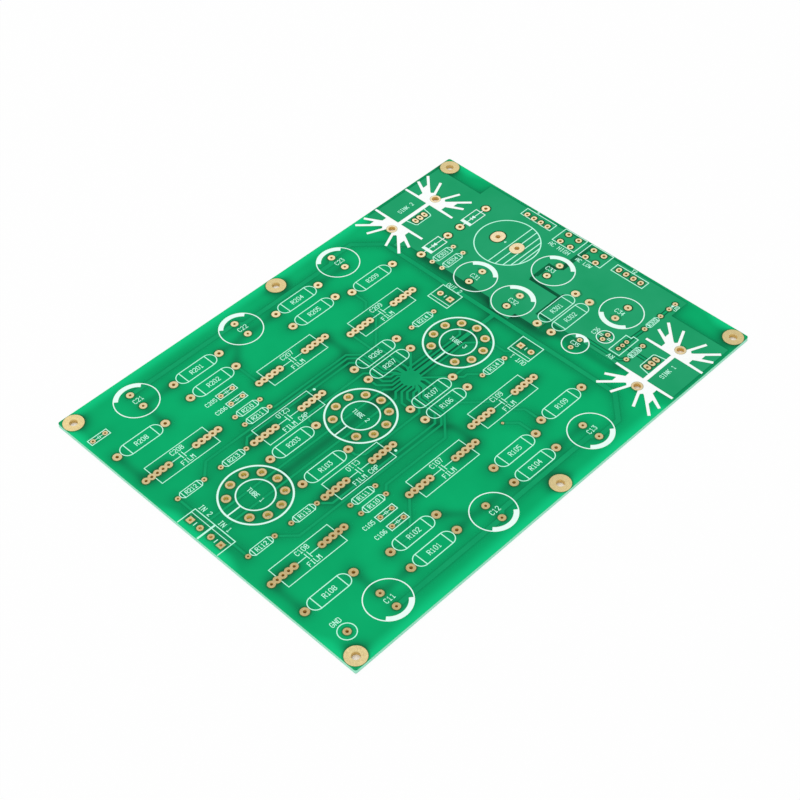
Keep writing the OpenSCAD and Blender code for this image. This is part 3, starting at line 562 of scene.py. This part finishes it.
film_mesh, *line_meshes = mask_film()
copper_outlines, openings = [bpy.data.objects.new(lines.name, lines) for lines in line_meshes]
for helper in (copper_outlines, openings):
    bpy.context.scene.collection.objects.link(helper)
solder_mask = grown("solder_mask", film_mesh, drape, {
    "Copper outlines": copper_outlines,
    "Openings": openings,
    "Film rise": FILM_RISE,
    "Copper rise": COPPER_RISE,
    "Shoulder": SHOULDER,
    "Material": mask,
})
for helper in (copper_outlines, openings):
    bpy.data.objects.remove(helper)
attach(solder_mask, "root")


# Plated holes
# Each hole is lined with copper, and has a land on both faces that was dipped in
# solder and rolled flat. The finish is a warm matt tan with a fine grain.

speckle, given, result = shader_group("speckle", [
    ("Position", "NodeSocketVector", None),
    ("Grain size", "NodeSocketFloat", 0.3),
    ("Low", "NodeSocketFloat", 0.0),
    ("High", "NodeSocketFloat", 1.0),
], "Value")
grain = put(speckle, "ShaderNodeTexVoronoi", {
    "Vector": given["Position"],
    "Scale": maths(speckle, "DIVIDE", 1.0, given["Grain size"]),
}, feature="F1")
blotch = put(speckle, "ShaderNodeMapRange", {
    "Value": split(speckle, grain.outputs["Color"])[0],
    "To Min": given["Low"], "To Max": given["High"],
})
speckle.links.new(blotch.outputs["Result"], result["Value"])

# How much lighter the lands get with each millimetre along the board and across it
LANDS_LIGHTER_ALONG = 0.004
LANDS_LIGHTER_ACROSS = 0.0045


def plated_finish(name, land_dark, land_light, barrel_shaded, barrel_lit,
                  slope=1.0, patchy=0.12):
    """Tinned copper whose barrel is painted darker towards the bottom of the hole, as painted
    shade. With a slope of 1 the lands are darkest at the near input corner, and with 0 only
    patchy."""
    material, tree, shader = new_material(name, specular=0.5, Metallic=0.35)
    place = millimetres(tree)
    facing = split(tree, put(tree, "ShaderNodeTexCoord").outputs["Normal"])[2]
    spot = split(tree, place)
    land_share = use(tree, mottle, {"Position": place, "Patch size": 45.0,
                               "Low": 0.5 - patchy, "High": 0.5 + patchy})
    land_share = maths(tree, "MULTIPLY_ADD", spot[0], LANDS_LIGHTER_ALONG * slope, land_share)
    land_share = maths(tree, "MULTIPLY_ADD", spot[1], LANDS_LIGHTER_ACROSS * slope, land_share)
    land = tint(tree, land_share, land_dark, land_light)
    dulled = use(tree, speckle, {"Position": place, "Grain size": 0.35, "High": 0.35})
    land = tint(tree, dulled, land, colour(170, 146, 100))
    # Painted shade: the barrel is darker towards the bottom of the hole
    barrel = tint(tree, ease(tree, spot[2], 0.4, 1.5), barrel_shaded, barrel_lit)
    flat = ease(tree, maths(tree, "ABSOLUTE", facing), 0.3, 0.7)
    tree.links.new(tint(tree, flat, barrel, land), shader.inputs["Base Color"])
    tree.links.new(use(tree, speckle, {"Position": place, "Grain size": 0.3,
                                       "Low": 0.42, "High": 0.6}),
                   shader.inputs["Roughness"])
    pits = put(tree, "ShaderNodeBump", {
        "Height": use(tree, speckle, {"Position": place, "Grain size": 0.25}),
        "Strength": 0.15, "Distance": 0.01 * MM,
    })
    tree.links.new(pits.outputs["Normal"], shader.inputs["Normal"])
    return material


small_holes = plated_finish(
    "plated_small", colour(170, 150, 98), colour(242, 224, 180),
    colour(174, 138, 52), colour(224, 186, 88))
terminal_holes = plated_finish(
    "plated_terminal", colour(172, 156, 104), colour(242, 224, 180),
    colour(230, 198, 118), colour(244, 218, 150))
socket_holes = plated_finish(
    "plated_socket", colour(170, 152, 100), colour(236, 218, 172),
    colour(216, 198, 102), colour(234, 216, 126))
wide_holes = plated_finish(
    "plated_wide", colour(180, 160, 112), colour(240, 221, 178),
    colour(216, 178, 92), colour(234, 204, 128))
mounting_holes = plated_finish(
    "plated_mounting", colour(176, 162, 114), colour(222, 200, 140),
    colour(218, 190, 116), colour(236, 212, 146), slope=0, patchy=0.5)
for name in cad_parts:
    if name == "mounting_pads":
        cover(name, mounting_holes)
    elif name in ("heatsink_pads", "reservoir_pads"):
        cover(name, wide_holes)
    elif name in ("input_terminal_pads", "output_terminal_pads"):
        cover(name, terminal_holes)
    elif name.startswith("socket") and name.endswith("_pads"):
        cover(name, socket_holes)
    elif name.endswith("_pads") or name in ("ground_pad", "via"):
        cover(name, small_holes)


# Printed outlines
# White epoxy ink, printed through a screen over the mask. It shows where each
# component sits, and stands a little above the board. Fine lines get less ink than
# wide areas, so the green of the mask tints them.

# The right one of the two hair lines across each terminal took no ink.
# Each is its middle, its reach along x and its reach along y, in millimetres.
BARE_LINES = [(x, side * y, 0.16, 4.86)
              for x, y in ((-94.6, 5.22), (38.2, 20.5)) for side in (1, -1)]


def printed_ink(name, thin, full, bare_lines=()):
    """Ink between two shades, and the mask's green on the lines that took none."""
    material, tree, shader = new_material(name, specular=0.2)
    place = millimetres(tree)
    shade = tint(tree, use(tree, mottle, {"Position": place, "Patch size": 1.5}), thin, full)
    spot = split(tree, place)
    for x, y, wide, tall in bare_lines:
        inside = []
        for axis, middle, reach in ((0, x, wide), (1, y, tall)):
            away = maths(tree, "ABSOLUTE", maths(tree, "SUBTRACT", spot[axis], middle))
            inside.append(maths(tree, "LESS_THAN", away, reach))
        shade = tint(tree, maths(tree, "MULTIPLY", *inside), shade, colour(12, 142, 88))
    tree.links.new(shade, shader.inputs["Base Color"])
    tree.links.new(use(tree, mottle, {"Position": place, "Patch size": 0.8,
                                      "Low": 0.55, "High": 0.7}),
                   shader.inputs["Roughness"])
    return material


wide_ink = printed_ink("ink", colour(248, 252, 250), colour(253, 254, 254))
can_ink = printed_ink("can_ink", colour(228, 254, 245), colour(236, 255, 249))
ring_ink = printed_ink("ring_ink", colour(216, 253, 240), colour(224, 254, 244))
fine_ink = printed_ink("fine_ink", colour(190, 254, 229), colour(200, 255, 235),
                       BARE_LINES)
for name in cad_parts:
    if not name.endswith(("_outline", "_outlines")):
        continue
    if name.startswith("heatsink"):
        cover(name, wide_ink)
    elif name.startswith(("rectifier", "channel_can", "supply_can")):
        cover(name, can_ink)
    elif name.startswith("socket"):
        cover(name, ring_ink)
    else:
        cover(name, fine_ink)


# Lettering
# Each component has a plain reference beside or inside its outline, drawn by a
# plotter's round pen in the same white ink. A letter is a few straight strokes.

PEN = 0.31 * MM
INK_RISE = 0.048 * MM

# Strokes of each letter on a grid 3 wide and 6 high. The last sign is a plain line.
STROKES = {
    "0": ["1,0 2,0 3,1 3,5 2,6 1,6 0,5 0,1 1,0"],
    "1": ["0.5,5 1.5,6 1.5,0", "0.5,0 2.5,0"],
    "2": ["0,5 1,6 2,6 3,5 3,4 0,0", "0,0 3,0"],
    "3": ["0,6 3,6", "3,6 1.5,3.6", "1.5,3.6 2.2,3.6 3,2.8 3,1 2,0 1,0 0,1"],
    "4": ["2.2,6 0,2", "0,2 3,2", "2.2,6 2.2,0"],
    "5": ["3,6 0,6", "0,6 0,3.5", "0,3.5 2,3.5 3,2.5 3,1 2,0 0,0"],
    "6": ["2.5,6 1.5,6 0,4.5 0,1 1,0 2,0 3,1 3,2.2 2,3.2 0,3.2"],
    "7": ["0,6 3,6", "3,6 1,0"],
    "8": ["1,3.2 0,4 0,5.2 0.8,6 2.2,6 3,5.2 3,4 2,3.2 1,3.2 "
          "0,2.4 0,0.8 0.8,0 2.2,0 3,0.8 3,2.4 2,3.2"],
    "9": ["0.5,0 1.5,0 3,1.5 3,5 2,6 1,6 0,5 0,3.8 1,2.8 3,2.8"],
    "A": ["0,0 0,4.5 1.5,6 3,4.5 3,0", "0,2.5 3,2.5"],
    "B": ["0,0 0,6", "0,6 2,6 3,5.2 3,4 2,3.2 0,3.2", "2,3.2 3,2.4 3,0.8 2,0 0,0"],
    "C": ["3,5 2,6 1,6 0,5 0,1 1,0 2,0 3,1"],
    "D": ["0,0 0,6", "0,6 2,6 3,5 3,1 2,0 0,0"],
    "E": ["3,6 0,6", "0,6 0,0", "0,0 3,0", "0,3.2 2.2,3.2"],
    "F": ["3,6 0,6", "0,6 0,0", "0,3.2 2.2,3.2"],
    "G": ["3,5 2,6 1,6 0,5 0,1 1,0 2,0 3,1 3,2.8", "3,2.8 1.7,2.8"],
    "H": ["0,0 0,6", "3,0 3,6", "0,3.2 3,3.2"],
    "I": ["1.5,0 1.5,6", "0.7,0 2.3,0", "0.7,6 2.3,6"],
    "K": ["0,0 0,6", "3,6 0,2.6", "1,3.6 3,0"],
    "L": ["0,6 0,0", "0,0 3,0"],
    "M": ["0,0 0,6", "0,6 1.5,3.4", "1.5,3.4 3,6", "3,6 3,0"],
    "N": ["0,0 0,6", "0,6 3,0", "3,0 3,6"],
    "O": ["1,0 2,0 3,1 3,5 2,6 1,6 0,5 0,1 1,0"],
    "P": ["0,0 0,6", "0,6 2,6 3,5.2 3,3.8 2,3 0,3"],
    "Q": ["1,0 2,0 3,1 3,5 2,6 1,6 0,5 0,1 1,0", "1.8,1.6 3.2,-0.3"],
    "R": ["0,0 0,6", "0,6 2,6 3,5.2 3,3.8 2,3 0,3", "1.5,3 3,0"],
    "S": ["3,5 2,6 1,6 0,5.2 0,4 1,3.2 2,3.2 3,2.4 3,0.8 2,0 1,0 0,1"],
    "T": ["0,6 3,6", "1.5,6 1.5,0"],
    "U": ["0,6 0,1 1,0 2,0 3,1 3,6"],
    "V": ["0,6 1.5,0", "1.5,0 3,6"],
    "W": ["0,6 0.7,0", "0.7,0 1.5,3.4", "1.5,3.4 2.3,0", "2.3,0 3,6"],
    "+": ["0,3 3,3", "1.5,1.5 1.5,4.5"],
    " ": [],
    "|": ["1.5,0 1.5,6"],
}
LETTER_WIDTH = 3
LETTER_HEIGHT = 6
LETTER_STEP = 4.5

pen_tree, given, result = geometry_tree("pen_strokes", [
    ("Pen width", "NodeSocketFloat"),
    ("Ink height", "NodeSocketFloat"),
    ("Material", "NodeSocketMaterial"),
])
upright = put(pen_tree, "GeometryNodeSetCurveNormal",
              {0: given["Geometry"]}, mode="Z_UP").outputs[0]
circle = put(pen_tree, "GeometryNodeCurvePrimitiveCircle",
             {"Resolution": 8, "Radius": 1.0}).outputs[0]
spot = put(pen_tree, "ShaderNodeSeparateXYZ",
           {0: put(pen_tree, "GeometryNodeInputPosition").outputs[0]}).outputs
half_pen = maths(pen_tree, "MULTIPLY", given["Pen width"], 0.5)
bulge = maths(pen_tree, "MULTIPLY",
              maths(pen_tree, "SIGN", spot[1]),
              maths(pen_tree, "SQRT", maths(pen_tree, "ABSOLUTE", spot[1])))
section = put(pen_tree, "ShaderNodeCombineXYZ", {
    0: maths(pen_tree, "MULTIPLY", spot[0], half_pen),
    1: maths(pen_tree, "MULTIPLY", bulge, given["Ink height"]),
}).outputs[0]
nib = put(pen_tree, "GeometryNodeSetPosition",
          {"Geometry": circle, "Position": section}).outputs[0]
strokes = put(pen_tree, "GeometryNodeCurveToMesh",
              {"Curve": upright, "Profile Curve": nib, "Fill Caps": True}).outputs[0]
drop = put(pen_tree, "GeometryNodeMeshUVSphere",
           {"Segments": 8, "Rings": 4, "Radius": 1.0}).outputs[0]
ends = put(pen_tree, "GeometryNodeCurveEndpointSelection",
           {"Start Size": 1, "End Size": 1}).outputs[0]
dot_size = put(pen_tree, "ShaderNodeCombineXYZ",
               {0: half_pen, 1: half_pen, 2: given["Ink height"]}).outputs[0]
drops = put(pen_tree, "GeometryNodeInstanceOnPoints",
            {"Points": given["Geometry"], "Selection": ends, "Instance": drop,
             "Scale": dot_size}).outputs[0]
both = pen_tree.nodes.new("GeometryNodeJoinGeometry")
pen_tree.links.new(strokes, both.inputs[0])
pen_tree.links.new(drops, both.inputs[0])
whole = put(pen_tree, "GeometryNodeRealizeInstances", {0: both.outputs[0]}).outputs[0]
whole = put(pen_tree, "GeometryNodeSetMaterial",
            {"Geometry": whole, "Material": given["Material"]}).outputs[0]
pen_tree.links.new(whole, result[0])


def lettering(name, labels):
    """Draws labels of (text, x, y, turn in degrees, letter height), centred at x, y."""
    data = bpy.data.curves.new(name, "CURVE")
    data.dimensions = "3D"
    for text, x, y, turn, tall in labels:
        unit = tall / LETTER_HEIGHT
        length = (len(text) - 1) * LETTER_STEP + LETTER_WIDTH
        a = radians(turn)
        for k, letter in enumerate(text):
            for stroke in STROKES[letter]:
                spline = data.splines.new("POLY")
                corners = [pair.split(",") for pair in stroke.split()]
                spline.points.add(len(corners) - 1)
                for point, (u, v) in zip(spline.points, corners):
                    along = (k * LETTER_STEP + float(u) - length / 2) * unit
                    across = (float(v) - LETTER_HEIGHT / 2) * unit
                    point.co = ((x + along * cos(a) - across * sin(a)) * MM,
                                (y + along * sin(a) + across * cos(a)) * MM,
                                BOARD_TOP, 1)
    piece = grown(name, data, pen_tree,
                  {"Pen width": PEN, "Ink height": INK_RISE, "Material": fine_ink})
    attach(piece, "root")


# Middles of the three sockets along the board and of the two gaps between them, and
# the usual heights of letters, in millimetres
SOCKET_X = (-75.0, -24.5, 26.0)
BETWEEN_X = (-49.75, 0.75)
MAIN = 1.95
SMALL = 1.7

# One channel's resistors, by number. The last five have small letters.
resistor_places = [
    *[(BETWEEN_X[0], y) for y in (60.4, 50.9, 8.2)],
    *[(BETWEEN_X[1], y) for y in (60.4, 50.9, 18.0, 10.7)],
    (SOCKET_X[0] - 11, 48.0), (SOCKET_X[2] + 2.8, 48.0),
    (BETWEEN_X[0] - 0.2, 32.1), (BETWEEN_X[0] - 0.2, 26.9),
    (SOCKET_X[0] - 13.6, 18.0), (SOCKET_X[0] + 5.9, 18.0), (SOCKET_X[2] - 0.3, 18.0),
]
FIRST_SMALL = 9
lettering("resistor_lettering", [
    (f"R{(200 if side > 0 else 100) + k + 1}", x, side * y, 0,
     SMALL if k >= FIRST_SMALL else MAIN)
    for side in (1, -1) for k, (x, y) in enumerate(resistor_places)
] + [
    ("R301", 64.5, -14.6, 0, MAIN), ("R302", 64.5, -21.5, 0, MAIN),
    ("R303", 57.2, 37.6, 0, SMALL), ("R304", 57.2, 32.4, 0, SMALL),
    ("R305", 83.2, -45.7, 0, 1.5), ("R306", 66.4, -50.8, 0, 1.5),
])
lettering("capacitor_lettering", [
    (f"C{2 if side > 0 else 1}{k + 1}", x + 0.6, side * 64, 0, MAIN)
    for side in (1, -1) for k, x in enumerate(SOCKET_X)
] + [
    ("C205", -57.3, 43.6, 0, SMALL), ("C206", -57.3, 38.0, 0, SMALL),
    ("C105", -57.8, -37.7, 0, SMALL), ("C106", -57.8, -43.4, 0, SMALL),
] + [
    (text, x, y + rise, 0, MAIN)
    for x, y, number in ((-22.3, 38.2, "C207"), (-22.3, -38.2, "C107"),
                         (-80.5, 32.1, "C208"), (-80.5, -32.1, "C108"),
                         (18.1, 32.1, "C209"), (15.3, -32.1, "C109"))
    for text, rise in ((number, 3.2), ("FILM", -3.1))
] + [
    ("C210", -42.9, 21.2, 180, MAIN), ("FILM CAP", -42.5, 14.6, 0, MAIN),
    ("C110", -43.0, -14.8, 180, MAIN), ("FILM CAP", -42.8, -21.2, 0, MAIN),
])
lettering("socket_lettering", [
    (f"TUBE {k + 1}", x, 0, -90, 1.75) for k, x in enumerate(SOCKET_X)
])
# The four plain lines run across the input and output terminals.
lettering("connection_lettering", [
    ("IN 2", -91.4, 7.2, -90, MAIN), ("IN 1", -91.4, -2.8, -90, MAIN),
    ("GND", -93.1, -58.2, 0, MAIN),
    ("OUT 2", 46.2, 21.1, -90, MAIN), ("OUT 1", 34.4, -22.1, 90, MAIN),
    ("|", -95.1, 5.2, 0, 9.6), ("|", -95.1, -5.2, 0, 9.6),
    ("|", 37.7, 20.5, 0, 9.9), ("|", 37.7, -20.5, 0, 9.9),
])
lettering("supply_lettering", [
    ("SINK 2", 66.9, 67.4, 0, 1.8), ("SINK 1", 66.9, -65.8, 0, 1.8),
    ("C31", 56.4, 19.6, -90, MAIN), ("C32", 56.2, -0.2, -90, MAIN),
    ("C33", 79.2, 1.2, -90, MAIN), ("C34", 79.2, -33.2, -90, MAIN),
    ("C35", 55.1, -31.8, -90, SMALL), ("C36", 65.5, -33.0, 0, SMALL),
    ("RV", 59.0, -45.5, 90, MAIN), ("+", 79.0, 24.6, 0, MAIN),
    ("AC HIGH", 90.7, 6.8, -90, MAIN), ("AC LOW", 90.7, -5.7, -90, SMALL),
    ("T1", 101.0, 26.5, -90, 0.7), ("T2", 100.3, -23.0, -90, 1.5),
    ("LED", 95.1, -47.5, 0, 1.3),
])


# Floor, light and camera
# The board lies on a plain white sheet in a soft, even light, seen from above its
# lower left corner through a long lens.

FLOOR_REACH = 3.0
FLOOR_TOP = -0.03 * MM
# Share of the sheet's look that is its own white, and the strength of the room's
# light on the board. To the eye the room is pure white.
SHEET_WHITE = 0.94
ROOM_LIGHT = 0.64

floor_mesh = bpy.data.meshes.new("floor")
floor_mesh.from_pydata([(x * FLOOR_REACH, y * FLOOR_REACH, FLOOR_TOP)
                        for x, y in ((-1, -1), (1, -1), (1, 1), (-1, 1))],
                       [], [(0, 1, 2, 3)])
floor = bpy.data.objects.new("floor", floor_mesh)
bpy.context.scene.collection.objects.link(floor)


def rays_that_see(tree):
    """1 for the rays that show the background: to the eye, in gloss and through glass."""
    rays = put(tree, "ShaderNodeLightPath").outputs
    in_things = maths(tree, "MAXIMUM", rays["Is Glossy Ray"], rays["Is Transmission Ray"])
    return maths(tree, "MAXIMUM", rays["Is Camera Ray"], in_things)


paper = bpy.data.materials.new("floor_paper")
paper.use_nodes = True
tree = paper.node_tree
tree.nodes.clear()
# The sheet is pure white to the eye, but not under the board, where no light falls.
spot = split(tree, millimetres(tree))
beside = maths(tree, "MAXIMUM",
               maths(tree, "GREATER_THAN", maths(tree, "ABSOLUTE", spot[0]), HALF_LENGTH),
               maths(tree, "GREATER_THAN", maths(tree, "ABSOLUTE", spot[1]), HALF_WIDTH))
seen = maths(tree, "MULTIPLY", rays_that_see(tree), beside)
matt = put(tree, "ShaderNodeBsdfDiffuse", {"Color": (0.9, 0.9, 0.9, 1)}).outputs[0]
white = put(tree, "ShaderNodeEmission", {"Color": (1, 1, 1, 1), "Strength": 1.0}).outputs[0]
sheet = put(tree, "ShaderNodeMixShader",
            {0: maths(tree, "MULTIPLY", seen, SHEET_WHITE), 1: matt, 2: white})
clear = put(tree, "ShaderNodeBsdfTransparent").outputs[0]
below = put(tree, "ShaderNodeMixShader",
            {0: put(tree, "ShaderNodeNewGeometry").outputs["Backfacing"],
             1: sheet.outputs[0], 2: clear})
put(tree, "ShaderNodeOutputMaterial", {"Surface": below.outputs[0]})
floor_mesh.materials.append(paper)

scene = bpy.context.scene
scene.view_settings.view_transform = "Standard"
world = bpy.data.worlds.new("studio")
scene.world = world
world.use_nodes = True
tree = world.node_tree
air = tree.nodes["Background"]
air.inputs["Color"].default_value = (1, 1, 1, 1)
tree.links.new(
    maths(tree, "MULTIPLY_ADD", rays_that_see(tree), 1 - ROOM_LIGHT, ROOM_LIGHT),
    air.inputs["Strength"])


def softbox(name, place, size, power):
    """A round soft lamp that points at the board's middle."""
    data = bpy.data.lights.new(name, "AREA")
    data.shape = "DISK"
    data.size = size
    data.energy = power
    lamp = bpy.data.objects.new(name, data)
    lamp.matrix_world = (Matrix.Translation(place)
                         @ (-Vector(place)).to_track_quat("-Z", "Y").to_matrix().to_4x4())
    scene.collection.objects.link(lamp)


softbox("overhead", place=(0.25, 0.45, 1.3), size=0.9, power=6.3)
softbox("fill", place=(-0.9, -0.5, 1.0), size=0.8, power=2.6)

camera_data = bpy.data.cameras.new("camera")
camera_data.lens = 76.28
camera_data.sensor_width = 36
camera_data.clip_start = 0.01
camera = bpy.data.objects.new("camera", camera_data)
scene.collection.objects.link(camera)
scene.camera = camera
stand = Vector((-0.2972, -0.3039, 0.4467))
aim = Vector((-0.00963, -0.00490, 0.00171))
ROLL = -2.034
camera.matrix_world = (
    Matrix.Translation(stand)
    @ (aim - stand).to_track_quat("-Z", "Y").to_matrix().to_4x4()
    @ Matrix.Rotation(radians(ROLL), 4, "Z")
)
